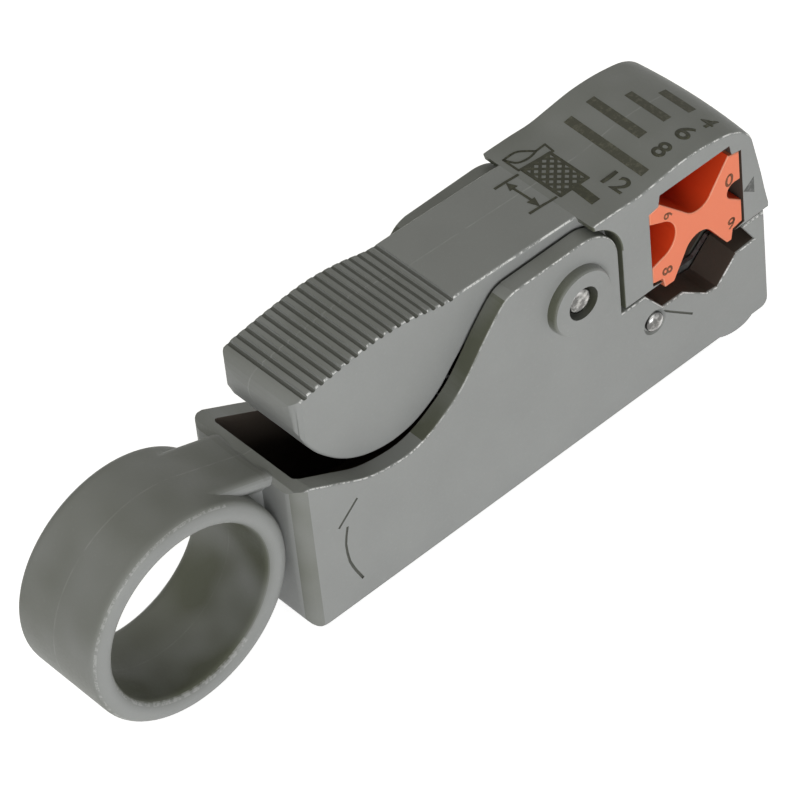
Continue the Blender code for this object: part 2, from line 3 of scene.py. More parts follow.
import bmesh
import bpy
from bpy.props import FloatProperty, FloatVectorProperty, IntProperty, PointerProperty
from bpy.types import Operator, Panel, PropertyGroup
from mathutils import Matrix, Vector


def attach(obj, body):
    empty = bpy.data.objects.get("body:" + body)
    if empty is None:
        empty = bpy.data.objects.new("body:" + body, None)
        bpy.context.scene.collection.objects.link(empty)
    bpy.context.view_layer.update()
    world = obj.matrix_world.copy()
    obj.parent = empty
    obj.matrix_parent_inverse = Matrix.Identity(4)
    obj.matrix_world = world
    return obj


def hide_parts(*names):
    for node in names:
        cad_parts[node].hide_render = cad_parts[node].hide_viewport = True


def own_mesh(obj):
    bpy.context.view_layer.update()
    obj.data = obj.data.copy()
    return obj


bl_info = {
    "name": "Rotary coaxial cable stripper",
    "version": (1, 0, 0),
    "blender": (4, 5, 0),
    "location": "3D Viewport > Sidebar > Stripper",
    "description": "Dresses the pocket coaxial cable stripper: mouldings, guide block, pins, blades, "
                   "print and stage",
    "category": "Object",
}

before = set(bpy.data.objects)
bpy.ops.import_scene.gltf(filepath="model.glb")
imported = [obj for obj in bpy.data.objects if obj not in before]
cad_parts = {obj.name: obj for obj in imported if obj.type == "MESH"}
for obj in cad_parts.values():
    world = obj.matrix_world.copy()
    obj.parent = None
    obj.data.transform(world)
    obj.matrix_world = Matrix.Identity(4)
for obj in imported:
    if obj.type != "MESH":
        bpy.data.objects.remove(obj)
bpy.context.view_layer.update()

# The tool's own datum, in millimetres

MM = 0.001
SHIFT_X = 30.0
SHIFT_Z = 1.4

BODY_HALF = 9.0
BODY_FRONT = 19.05
BODY_REAR = -52.5
BODY_RIM = 22.05
EAR = (-9.0, 24.0)
EAR_RADIUS = 5.35
HEAD_GAP_RADIUS = 6.0
HEAD_REAR = -3.05
HEAD_FRONT = 19.87
HEAD_BOTTOM = 14.97
FRONT_BOW = 0.53
BODY_BOW = (10.0, 17.0)
HEAD_BOW = (8.0, 15.0)
ARM_HALF = 6.35
TROUGH_HALF = 6.75
TROUGH_FLOOR = 2.2
WALL_INSIDE = -50.7
MATING = 14.72
PIVOT = (-10.4, 22.0)
BLADE_PIN = (1.12, 9.95)
BLADE_Y = 3.85
BLADE_HALF = 0.28
RING = (-66.5, 12.9)
RING_RADIUS = 13.9
RING_BORE = 11.05
RING_HALF = 6.85
NECK_HALF = 4.9
NECK_SLOPE = -0.354
NECK_END = -52.4
BLOCK = (8.525, 21.03)
BLOCK_WIDE = 7.1
BLOCK_HIGH = 7.15
BLOCK_HALF = 8.9
REBATE = (5.6, 5.65)
REBATE_MOUTH = (5.3, 5.35)
WINDOW_GAP = 0.2
SCREW_X = 14.4
SCREW_RADIUS = 1.3
SPRING_X = -22.0
SPRING_SEAT = 23.6
SPRING_RADIUS = 2.65
SPRING_WIRE = 0.35
SLOT_HALF = 0.58
EDGE_LEVEL = 9.2
RIB_START = -47.49
RIB_PITCH = 1.265
PRINT_LIFT = 0.03
FLOOR_GLOW = 0.78
MERGE = 0.0000005
BODY_SEAM = 0.15
JAW_SEAM = 0.95
CROWN = [(-47.0, 32.2), (-42.0, 32.8), (-37.0, 33.18), (-34.0, 33.0), (-31.0, 32.5), (-27.0, 31.5)]
HEAD_TOP = [(19.87, 15.6), (19.4, 18.0), (18.9, 21.0), (18.1, 25.0), (17.6, 27.2), (16.9, 28.3), (15.8, 29.3),
            (14.2, 30.1), (12.0, 30.6), (9.5, 30.92), (6.4, 30.98), (3.2, 30.64), (0.1, 30.3), (-3.0, 30.45),
            (-7.2, 30.55)]
ARROW = [[(-47.2, 13.2), (-44.2, 15.8)],
         [(-46.0, 12.6), (-46.3, 11.4), (-46.5, 10.2), (-46.45, 8.7), (-46.25, 7.2), (-45.9, 6.1),
          (-45.5, 5.1), (-44.7, 3.3)]]
FAINT_LINE = [(2.6, 10.7), (3.53, 9.88), (6.98, 7.05)]


def at(x, y, z):
    """A point of the tool's datum, in the row frame's metres."""
    return Vector(((x + SHIFT_X) * MM, y * MM, (z + SHIFT_Z) * MM))


# Outlines


def smooth(points, steps):
    """A smooth line through points, with a number of steps between neighbours."""
    line = []
    ends = [points[0]] + list(points) + [points[-1]]
    for k in range(1, len(ends) - 2):
        a, b, c, d = ends[k - 1:k + 3]
        for s in range(steps):
            t = s / steps
            line.append(tuple(
                0.5 * (2 * b[i] + (c[i] - a[i]) * t + (2 * a[i] - 5 * b[i] + 4 * c[i] - d[i]) * t * t
                       + (3 * b[i] - a[i] - 3 * c[i] + d[i]) * t ** 3)
                for i in range(len(b))))
    line.append(tuple(points[-1]))
    return line


def arc(cx, cz, radius, start, stop, steps):
    angles = [radians(start + (stop - start) * k / steps) for k in range(steps + 1)]
    return [(cx + radius * cos(a), cz + radius * sin(a)) for a in angles]


def block_groove(first, last, centre, radius, steps=12):
    """A groove of the guide block: straight flanks and a round bottom, from its last lip to its first."""
    def touch(point, side):
        dx, dz = point[0] - centre[0], point[1] - centre[1]
        return atan2(dz, dx) + side * acos(radius / hypot(dx, dz))
    start, stop = touch(first, 1), touch(last, -1)
    if stop < start:
        stop += 2 * pi
    turns = [start + (stop - start) * k / steps for k in range(steps + 1)]
    line = [first] + [(centre[0] + radius * cos(a), centre[1] + radius * sin(a)) for a in turns] + [last]
    return [(BLOCK[0] + u, BLOCK[1] + v) for u, v in line[::-1]]


def body_outline():
    outline = [(-50.0, 0.0), (BODY_FRONT - 1.2, 0.0)]
    outline += arc(BODY_FRONT - 1.2, 1.2, 1.2, -75, 0, 5)
    outline += [(BODY_FRONT, MATING), (15.38, MATING), (17.25, 11.6), (14.25, 11.4), (11.05, 8.35)]
    outline += [(9.5, 8.55), (5.87, 11.26), (2.6, 11.3), (0.0, MATING), (EAR[0] + EAR_RADIUS, MATING)]
    outline += arc(*EAR, EAR_RADIUS, 0, 90, 16)
    outline += smooth([(-19.2, 29.35), (-21.0, 28.6), (-24.0, 25.5), (-28.0, 20.8), (-31.5, 18.3),
                       (-34.7, 16.93), (-37.7, 16.69), (-42.1, 17.55), (-46.3, 19.7), (-50.4, 21.9)], 6)
    outline += [(-52.0, BODY_RIM), (BODY_REAR, BODY_RIM - 0.5)]
    outline += arc(BODY_REAR + 2.5, 2.5, 2.5, 180, 255, 6)
    return outline


def head_outline():
    outline = [(HEAD_REAR, HEAD_BOTTOM), (HEAD_FRONT, HEAD_BOTTOM)] + smooth(HEAD_TOP, 4)
    return outline + arc(*EAR, HEAD_GAP_RADIUS, 70, 0, 14)


def bulge(x, y, start, full):
    """How far the bowed front stands out over the sides, at a point of the unbowed front."""
    share = max(0.0, min(1.0, (x - start) / (full - start)))
    return FRONT_BOW * share * (1 - (y / BODY_HALF) ** 2)


def height_on(line, x):
    """Height of a broken line over a point along the tool."""
    for (x0, z0), (x1, z1) in zip(line, line[1:]):
        if x <= x1:
            return z0 + (z1 - z0) * (x - x0) / (x1 - x0)


def head_height(x, y):
    """Height of the head's top over a point, and of the arm's top behind it."""
    flat_x = x - bulge(x - bulge(x, y, *HEAD_BOW), y, *HEAD_BOW)
    arm_top = [(-16.0, 31.03), (-8.3, 30.68)]
    return height_on(arm_top + smooth(HEAD_TOP, 4)[::-1] + [(100.0, 0.0)], flat_x)


def arm_outline():
    top = smooth([(-8.3, 30.65), (-16.0, 31.0), (-24.0, 31.35)] + CROWN[::-1], 6)
    rear = smooth([(-48.3, 31.8), (-49.05, 31.2), (-49.5, 30.1), (-49.4, 28.9), (-48.95, 27.4)], 2)
    under = smooth([(-47.9, 24.6), (-46.4, 22.3), (-43.9, 19.7), (-41.1, 17.9), (-38.3, 17.0),
                    (-35.5, 16.8), (-32.5, 17.4), (-29.2, 19.2), (-26.6, 21.8), (-24.6, SPRING_SEAT)], 4)
    outline = [(-0.5, 17.2), (-0.5, 29.2), (-5.0, 29.6), (-6.9, 30.52)]
    return outline + top + rear + under + [(-16.6, SPRING_SEAT)] + arc(*PIVOT, 4.5, 165, 290, 18)


def block_corner(side_x, side_z, gap=0.0):
    """The rebate at one corner of the guide block, from its upright side inwards, widened by a gap."""
    points = [(BLOCK_WIDE + gap, REBATE_MOUTH[1] + gap), (REBATE[0] + gap, REBATE[1] + gap)]
    points += [(REBATE_MOUTH[0] + gap, BLOCK_HIGH + gap)]
    return [(BLOCK[0] + side_x * u, BLOCK[1] + side_z * v) for u, v in points]


def block_outline():
    w, h = BLOCK_WIDE, BLOCK_HIGH
    outline = block_groove((4.6, -h), (-3.9, -h), (0.25, -4.8), 2.3) + block_corner(1, -1)[::-1]
    outline += block_groove((w, 1.2), (w, -2.1), (6.1, 0.1), 1.15) + block_corner(1, 1)[:2]
    outline += block_groove((-5.4, 5.8), (5.4, 5.8), (0.4, 3.4), 2.45) + block_corner(-1, 1)[:2][::-1]
    return outline + block_groove((-w, -3.0), (-w, 3.7), (-6.0, 0.2), 2.75) + block_corner(-1, -1)


def window_outline():
    corners = ((1, -1), (1, 1), (-1, 1), (-1, -1))
    return [point for x, z in corners for point in block_corner(x, z, WINDOW_GAP)[::x * z]]


def crown_height(x):
    """Height of the thumb pad's top over a point along the tool."""
    return height_on([(-48.0, 31.85), *CROWN, (-5.0, 29.3)], x)


# Modelling by hand


def close_up():
    bpy.ops.object.mode_set(mode="OBJECT")


def let_go():
    if bpy.context.object and bpy.context.object.mode != "OBJECT":
        close_up()
    bpy.ops.object.select_all(action="DESELECT")


def hold(piece):
    let_go()
    piece.select_set(True)
    bpy.context.view_layer.objects.active = piece


def select(piece, test, kind="EDGE"):
    """Edit mode with just the edges, or the faces, that pass a test."""
    hold(piece)
    bpy.ops.object.mode_set(mode="EDIT")
    bpy.ops.mesh.select_mode(type=kind)
    bpy.ops.mesh.select_all(action="DESELECT")
    bm = bmesh.from_edit_mesh(piece.data)
    found = [part for part in (bm.edges if kind == "EDGE" else bm.faces) if test(part)]
    for part in found:
        part.select_set(True)
    bmesh.update_edit_mesh(piece.data)
    return len(found)


def open_up():
    """Edit mode with all of the active piece selected."""
    bpy.ops.object.mode_set(mode="EDIT")
    bpy.ops.mesh.select_all(action="SELECT")


def right_way_out(piece):
    """Closed seams, and faces that point outwards."""
    hold(piece)
    open_up()
    bpy.ops.mesh.remove_doubles(threshold=MERGE)
    bpy.ops.mesh.normals_make_consistent(inside=False)
    close_up()
    return piece


def begin(name, operator, **settings):
    """Something new, added with nothing else selected."""
    let_go()
    operator(**settings)
    bpy.context.object.name = name
    return bpy.context.object


def rim(name, points):
    """A circle whose rim is moved to the outline's points."""
    piece = begin(name, bpy.ops.mesh.primitive_circle_add, vertices=len(points), radius=0.01,
                  fill_type="NOTHING")
    piece.data.name = name
    for vertex, point in zip(piece.data.vertices, points):
        vertex.co = at(*point)
    return piece


def filled(name, points):
    """An outline with one face in it, open for editing."""
    piece = rim(name, points)
    open_up()
    bpy.ops.mesh.edge_face_add()
    return piece


def pull(x, y, z):
    """Extrudes what is selected by a distance in millimetres."""
    bpy.ops.mesh.extrude_region_move(TRANSFORM_OT_translate={"value": (x * MM, y * MM, z * MM)})


def plate(name, outline, near, far, edge=0.0):
    """An outline seen from the side, filled, extruded across the tool and rounded along its rims."""
    piece = filled(name, [(x, near, z) for x, z in outline])
    pull(0, far - near, 0)
    right_way_out(piece)
    if edge:
        soften(piece, edge, lambda e: abs(e.verts[0].co.y - e.verts[1].co.y) < 1e-7, 3, False)
    return piece


def slab(name, outline, low, high):
    """An outline seen from above, filled and raised."""
    piece = filled(name, [(x, y, low) for x, y in outline])
    pull(0, 0, high - low)
    return right_way_out(piece)


def settle(piece):
    """Puts the piece's place into its mesh."""
    hold(piece)
    bpy.ops.object.transform_apply(location=True, rotation=True, scale=True)
    return piece


def block(name, low, high):
    """An upright block between two corners."""
    middle = at(*((a + b) / 2 for a, b in zip(low, high)))
    size = [(b - a) * MM for a, b in zip(low, high)]
    return settle(begin(name, bpy.ops.mesh.primitive_cube_add, size=1, location=middle, scale=size))


def bar(name, centre, radius, near, far, axis="Y", steps=48):
    """A round bar across the tool, or upright for axis Z."""
    middle = (near + far) / 2
    if axis == "Y":
        place, turn = at(centre[0], middle, centre[1]), (pi / 2, 0, 0)
    else:
        place, turn = at(centre[0], centre[1], middle), (0, 0, 0)
    return settle(begin(name, bpy.ops.mesh.primitive_cylinder_add, vertices=steps, radius=radius * MM,
                        depth=(far - near) * MM, location=place, rotation=turn))


def spun(name, profile, centre, steps, axis="Y"):
    """A profile of radius and offset pairs, spun round an axis through a point of the datum."""
    cx, cy, cz = centre
    y, z = (1, 0) if axis == "Y" else (0, 1)
    piece = rim(name, [(cx + r, cy + h * y, cz + h * z) for r, h in profile])
    open_up()
    bpy.ops.mesh.spin(steps=steps, angle=2 * pi, center=at(*centre), axis=(0, y, z))
    return right_way_out(piece)


def lathe(name, profile, centre, steps, axis="Y"):
    """A closed turned solid whose profile starts and ends on the axis."""
    piece = spun(name, profile, centre, steps, axis)
    select(piece, lambda e: not e.link_faces)
    bpy.ops.mesh.delete(type="EDGE")
    bpy.ops.mesh.select_all(action="SELECT")
    bpy.ops.mesh.dissolve_degenerate(threshold=MERGE)
    close_up()
    return right_way_out(piece)


def loft(name, sections):
    """A filled rim extruded from each cross-section to the next."""
    piece = filled(name, sections[0])
    for before, after in zip(sections, sections[1:]):
        bpy.ops.mesh.extrude_region_move()
        bm = bmesh.from_edit_mesh(piece.data)
        for vertex in [v for v in bm.verts if v.select]:
            near = min(range(len(before)), key=lambda k: (at(*before[k]) - vertex.co).length)
            vertex.co = at(*after[near])
        bmesh.update_edit_mesh(piece.data)
    return right_way_out(piece)


def bow_front(piece, start, full):
    """Cuts the front of a plate into strips and bows it in plan."""
    for k in range(-5, 6):
        select(piece, lambda f: max(v.co.x for v in f.verts) > at(start, 0, 0).x, "FACE")
        bpy.ops.mesh.bisect(plane_co=at(0, k * 1.6, 0), plane_no=(0, 1, 0))
        close_up()
    for vertex in piece.data.vertices:
        x, y = vertex.co.x / MM - SHIFT_X, vertex.co.y / MM
        vertex.co.x += bulge(x, y, start, full) * MM


def mark(piece, name, share):
    """Keeps a number on each face: one for all, or worked out from its middle and its direction."""
    layer = piece.data.attributes.new(name, "FLOAT", "FACE")
    for face in piece.data.polygons:
        x, y, z = face.center / MM
        value = share(x - SHIFT_X, y, z - SHIFT_Z, face.normal) if callable(share) else share
        layer.data[face.index].value = float(value)
    return piece


def on_long_edge(x, y, z, normal):
    """The rounded edges between the tool's sides and its top."""
    return 0.4 < abs(normal.y) < 0.75 and normal.z > 0.2


def finish_modifier(piece, modifier):
    hold(piece)
    bpy.ops.object.modifier_apply(modifier=modifier.name)


def combine(piece, operation, *tools):
    for tool in tools:
        change = piece.modifiers.new("join", "BOOLEAN")
        change.operation = operation
        change.object = tool
        change.solver = "EXACT"
        finish_modifier(piece, change)
        bpy.data.objects.remove(tool, do_unlink=True)


def carve(piece, *tools):
    combine(piece, "DIFFERENCE", *tools)


def add(piece, *tools):
    combine(piece, "UNION", *tools)


def gather(pieces, name):
    """One object of several."""
    let_go()
    for piece in pieces:
        piece.select_set(True)
    bpy.context.view_layer.objects.active = pieces[0]
    if len(pieces) > 1:
        bpy.ops.object.join()
    pieces[0].name = name
    return pieces[0]


def polish(piece, weighted=True):
    """Smooth shading with sharp corners, flat faces kept flat."""
    hold(piece)
    bpy.ops.object.shade_smooth_by_angle(angle=radians(35))
    if weighted:
        even = piece.modifiers.new("even shading", "WEIGHTED_NORMAL")
        even.keep_sharp = True
        finish_modifier(piece, even)
    return piece


def sharp(e):
    """Whether two faces meet at an edge at a clear angle."""
    return len(e.link_faces) == 2 and e.calc_face_angle(0) >= 0.6


def soften(piece, width, test, steps=2, clamp=True):
    """Rounds the edges that pass a test."""
    if select(piece, test):
        bpy.ops.mesh.bevel(offset=width * MM, offset_type="OFFSET", segments=steps, profile=0.5,
                           clamp_overlap=clamp)
    close_up()


def wires(name, lines, width):
    """Round wires through points, each a curve with a round section made into a mesh."""
    pieces = []
    for points in lines:
        stroke = begin("stroke", bpy.ops.curve.primitive_nurbs_path_add)
        curve = stroke.data
        curve.splines.clear()
        line = curve.splines.new("POLY")
        line.points.add(len(points) - 1)
        for point, place in zip(line.points, points):
            point.co = (*at(*place), 1)
        curve.bevel_depth = width / 2 * MM
        curve.bevel_resolution = 3
        curve.use_fill_caps = True
        hold(stroke)
        bpy.ops.object.convert(target="MESH")
        pieces.append(bpy.context.object)
    return right_way_out(gather(pieces, name))


# Shader maths


def both_ways(operation):
    """An operator and its reflected form, each made with one Math node."""
    def straight(self, other):
        return self.maths(operation, self, other)

    def reflected(self, other):
        return self.maths(operation, other, self)

    return straight, reflected


class Value:
    """A socket that can be used in Python expressions."""

    def __init__(self, maker, socket):
        self.maker = maker
        self.socket = socket

    def maths(self, operation, *values):
        return self.maker.node("ShaderNodeMath", {"operation": operation}, values)

    __add__, __radd__ = both_ways("ADD")
    __sub__, __rsub__ = both_ways("SUBTRACT")
    __mul__, __rmul__ = both_ways("MULTIPLY")
    __truediv__, __rtruediv__ = both_ways("DIVIDE")

    def __lt__(self, other):
        return self.maths("LESS_THAN", self, other)

    def __abs__(self):
        return self.maths("ABSOLUTE", self)

    def clamp(self):
        """The value held between 0 and 1."""
        return self.maths("MAXIMUM", self.maths("MINIMUM", self, 1.0), 0.0)


class NodeMaker:
    """Adds nodes to the tree of a material or of the world."""

    def __init__(self, owner):
        owner.use_nodes = True
        self.tree = owner.node_tree

    def node(self, kind, settings=None, values=(), named=None, output=0):
        """Any node: its settings first, then values or links for its sockets."""
        made = self.tree.nodes.new(kind)
        for key, value in (settings or {}).items():
            setattr(made, key, value)
        pairs = list(enumerate(values)) + list((named or {}).items())
        for key, value in pairs:
            if isinstance(value, Value):
                self.tree.links.new(value.socket, made.inputs[key])
            elif value is not None:
                made.inputs[key].default_value = value
        return Value(self, made.outputs[output])

    def seen_directly(self):
        """1 for rays from the camera, a mirror or a glass, and 0 for light on the object."""
        rays = [self.node("ShaderNodeLightPath", output=name)
                for name in ("Is Camera Ray", "Is Glossy Ray", "Is Transmission Ray")]
        return rays[0].maths("MAXIMUM", rays[0].maths("MAXIMUM", *rays[:2]), rays[2])


class Finish(NodeMaker):
    """A material under construction."""

    def __init__(self, name, colour, roughness, metallic=0.0, specular=0.5):
        self.material = bpy.data.materials.new(name)
        super().__init__(self.material)
        self.material.diffuse_color = (*colour, 1)
        self.shader = self.tree.nodes["Principled BSDF"]
        self.put("Base Color", (*colour, 1))
        self.put("Roughness", roughness)
        self.put("Metallic", metallic)
        self.put("Specular IOR Level", specular)
        self.place = self.node("ShaderNodeTexCoord", output="Object")

    def put(self, name, value):
        if isinstance(value, Value):
            self.tree.links.new(value.socket, self.shader.inputs[name])
        else:
            self.shader.inputs[name].default_value = value

    def along(self, axis):
        """One coordinate of the place, in the datum's millimetres."""
        value = self.node("ShaderNodeSeparateXYZ", None, (self.place,), output="XYZ".index(axis))
        shift = {"X": SHIFT_X, "Y": 0.0, "Z": SHIFT_Z}[axis]
        return value * 1000.0 - shift

    def cloud(self, scale, detail=2.0, roughness=0.5):
        """Noise of a given number of features to the millimetre."""
        named = {"Vector": self.place, "Scale": scale * 1000.0, "Detail": detail, "Roughness": roughness}
        return self.node("ShaderNodeTexNoise", None, (), named)

    def marked(self, name):
        """A number that the mesh carries on its faces."""
        return self.node("ShaderNodeAttribute", {"attribute_name": name}, output=2)

    def blend(self, factor, first, second):
        """A mix of two colours."""
        named = {0: factor, 6: first if isinstance(first, Value) else (*first, 1),
                 7: second if isinstance(second, Value) else (*second, 1)}
        return self.node("ShaderNodeMix", {"data_type": "RGBA"}, (), named, output=2)

    def bump(self, height, strength, distance):
        named = {"Strength": strength, "Distance": distance * MM, "Height": height}
        self.put("Normal", self.node("ShaderNodeBump", None, (), named))


def dress(piece, material):
    piece.data.materials.clear()
    piece.data.materials.append(material)


# Finishes


def darker(colour, share):
    return tuple(c * share for c in colour)


def grey_moulding(look, name, seam):
    """Satin grey plastic: fine grain, a raised parting line, painted highlights along the edges, painted
    olive shade on faces that face up or lie in shadow, and painted dark shade in recesses and cuts.
    """
    finish = Finish(name, look.plastic, look.plastic_roughness, specular=look.plastic_shine)
    broad = finish.cloud(0.1, 3.0)
    fine = finish.cloud(2.4, 3.0, 0.6)
    specks = finish.cloud(1.9, 2.0, 0.7)
    patches = ((broad - 0.35) * 1.8).clamp()
    tone = finish.blend(patches, darker(look.plastic, 0.95), darker(look.plastic, 1.05))
    tone = finish.blend(((specks - 0.6) * 4.0).clamp() * 0.18, tone, darker(look.plastic, 1.5))
    line = (abs(finish.along("Y") - seam) < 0.09) * ((finish.cloud(0.5) - 0.3) * 3.0).clamp()
    tone = finish.blend(line * 0.4, tone, darker(look.plastic, 1.7))
    # Painted highlight: pale glints painted along the rounded edges, broken up by noise.
    highlight_mask = finish.marked("edge_highlight") * ((finish.cloud(1.4, 3.0, 0.75) - 0.44) * 9.0).clamp()
    # Painted shade: an olive dark tone for faces that face up, lie in shadow or sit inside the ring.
    painted_shade = tuple(c * share for c, share in zip(look.plastic, (0.33, 0.34, 0.25)))
    uneven = finish.cloud(0.13, 1.0) * 2.0
    tone = finish.blend((finish.marked("painted_shade") * uneven).clamp(), tone, painted_shade)
    tone = finish.blend(highlight_mask * look.highlight_level, tone, (0.95, 0.95, 0.93))
    # Painted shade: dark brown painted into the notch, the trough, the head's window and the crease behind
    # the neck.
    tone = finish.blend(finish.marked("recess_shade") * look.recess_shade_level, tone, look.recess_shade_colour)
    # Painted shade: near black painted into cuts: the blade slots, the pin recesses, the arrow's strokes, a
    # faint line and the pad's groove floors.
    tone = finish.blend(finish.marked("cut_shade") * 0.85, tone, (0.03, 0.031, 0.02))
    finish.put("Base Color", tone)
    finish.put("Roughness", (fine - 0.5) * 0.25 + look.plastic_roughness)
    finish.bump(fine + line * 1.2, 0.35, 0.05)
    return finish.material


def orange_moulding(look):
    """Orange plastic, with painted highlights on its edges and a painted shade of deep red in the grooves,
    darker further in.
    """
    finish = Finish("orange guide moulding", look.guide, 0.4, specular=0.25)
    fine = finish.cloud(1.6, 2.0)
    # Painted shade: the grooves' red darkens from the near mouth inwards.
    depth = ((finish.along("Y") + 9.0) / 6.0).clamp()
    groove_colour = finish.blend(depth, look.groove_front, look.groove_back)
    tone = finish.blend(finish.marked("groove"), look.guide, groove_colour)
    # Painted highlight: the guide block's rounded edges are painted paler.
    tone = finish.blend(finish.marked("edge_highlight") * 0.5, tone, (0.9, 0.42, 0.28))
    finish.put("Base Color", tone)
    finish.put("Roughness", (fine - 0.5) * 0.15 + 0.4)
    finish.bump(fine, 0.15, 0.03)
    return finish.material


def steel_tone_and_reflection(name, colour, roughness, scale=1.2, dark=0.75):
    """Steel darker in patches: uneven tone, and where the patches are deep, painted dark reflections."""
    finish = Finish(name, colour, roughness, metallic=1.0)
    fine = finish.cloud(scale, 3.0)
    finish.put("Base Color", finish.blend(((fine - 0.45) * 4.0).clamp(), darker(colour, dark), colour))
    finish.put("Roughness", (fine - 0.5) * 0.2 + roughness)
    return finish.material


def print_finish(name, colour):
    """Worn pad print, a little uneven in its cover."""
    finish = Finish(name, colour, 0.6, specular=0.25)
    cover = ((finish.cloud(1.7, 3.0, 0.65) - 0.5) * 5.0).clamp()
    finish.put("Base Color", finish.blend(cover, darker(colour, 0.8), darker(colour, 1.5)))
    return finish.material


# Settings


def tint(name, description, *default):
    """The setting of a colour."""
    return FloatVectorProperty(name=name, description=description, subtype="COLOR", size=3, min=0, max=1,
                               default=default)


def level(name, description, default):
    """The setting of a share between 0 and 1."""
    return FloatProperty(name=name, description=description, subtype="FACTOR", min=0, max=1, default=default)


class StripperLook(PropertyGroup):
    plastic: tint("Grey plastic", "Colour of both grey mouldings", 0.262, 0.268, 0.262)
    plastic_roughness: level("Plastic roughness", "How matt the grey plastic is", 0.5)
    plastic_shine: level("Plastic shine", "Specular level of the grey plastic", 0.3)
    # The level of the painted edge highlights.
    highlight_level: level("Edge highlight", "How pale the scuffed edges are", 0.62)
    # Level and colour of the painted shade in the notch, the trough and the window.
    recess_shade_level: level("Recess shade", "How dirty the hollows are", 0.85)
    recess_shade_colour: tint("Recess shade colour", "Colour of the dirt in the hollows", 0.036, 0.02, 0.009)
    guide: tint("Guide orange", "Colour of the guide block's faces", 0.77, 0.2, 0.1)
    # Colours of the grooves' painted shade, at the near mouth and further in.
    groove_front: tint("Groove mouth", "Colour of the grooves at the near side", 0.85, 0.07, 0.016)
    groove_back: tint("Groove depth", "Colour of the grooves further in", 0.4, 0.007, 0.001)
    steel: tint("Steel", "Colour of the pins and blades", 0.72, 0.71, 0.69)
    bar_ink: tint("Scale print", "Colour of the printed length bars", 0.08, 0.079, 0.058)
    ink: tint("Figure print", "Colour of the printed figures", 0.05, 0.05, 0.032)
    guide_ink: tint("Guide figures", "Colour of the figures on the guide block", 0.2, 0.07, 0.03)


class StripperSizes(PropertyGroup):
    edge: FloatProperty(name="Edge rounding", description="Rounding of the long edges, in millimetres",
                        min=0.05, max=0.6, default=0.32)
    ribs: IntProperty(name="Pad grooves", description="Number of grooves across the thumb pad",
                      min=1, max=30, default=18)
    rib_depth: FloatProperty(name="Groove depth", description="Depth of a pad groove, in millimetres",
                             min=0.1, max=0.6, default=0.36)
    spring_turns: IntProperty(name="Spring turns", description="Turns of the return spring",
                              min=3, max=14, default=8)


class StripperStage(PropertyGroup):
    key: FloatProperty(name="Key light", description="Power of the large soft light", subtype="POWER",
                       unit="POWER", min=0, default=9.5)
    top: FloatProperty(name="Top light", description="Power of the soft light overhead", subtype="POWER",
                       unit="POWER", min=0, default=1.5)
    sky: level("Room light", "Level of the even light from all round", 0.26)
    floor: tint("Floor", "Colour of the floor", 0.9, 0.9, 0.9)


def look():
    return bpy.context.scene.stripper_look


def sizes():
    return bpy.context.scene.stripper_sizes


# Pieces


def neck_section(x):
    """Cross-section of the neck, flush with the ring at one end and a shallow channel at the other."""
    lean = hypot(1, NECK_SLOPE)
    start = RING[0] - RING_RADIUS * NECK_SLOPE / lean
    half = NECK_HALF + 0.9 * max(0.0, (-60.0 - x) / 3.65) ** 2
    top = RING[1] + RING_RADIUS / lean + NECK_SLOPE * (x - start)
    if x < start:
        top = RING[1] - 0.04 + sqrt(RING_RADIUS ** 2 - (x - RING[0]) ** 2)
    top -= 0.4 * max(0.0, x - NECK_END)
    dip = 0.3 * max(0.0, (x - start) / (NECK_END - start))
    edge = ((1.1, 2.6), (0.3, 1.8), (0.04, 1.3), (0, 0.95), (0.08, 0.6), (0.27, 0.3), (0.6, 0.1), (1.1, 0))
    side = [(3.1, 5.0), (3.1, top - 3.6)] + [(half - inset, top - fall) for inset, fall in edge]
    side += [(2.9, top - dip * 0.5), (1.6, top - dip * 0.9)]
    return [(x, y, z) for y, z in side] + [(x, 0, top - dip)] + [(x, -y, z) for y, z in side[::-1]]


def ring_profile():
    outer = ((0, 5.4), (0.02, 5.75), (0.1, 6.1), (0.4, 6.5), (0.9, 6.75), (1.5, RING_HALF))
    inner = ((0.75, 6.7), (0.3, 6.35), (0.05, 5.85), (0, 5.2))
    line = smooth([(RING_RADIUS - r, y) for r, y in outer] + [(RING_BORE + r, y) for r, y in inner], 3)
    return line[::-1] + [(r, -y) for r, y in line]


def rounded_plan(x0, x1, half, radius, steps):
    outline = arc(x0 + radius, half - radius, radius, 90, 180, steps)
    outline += arc(x0 + radius, radius - half, radius, 180, 270, steps)
    return outline + [(x1, -half), (x1, half)]


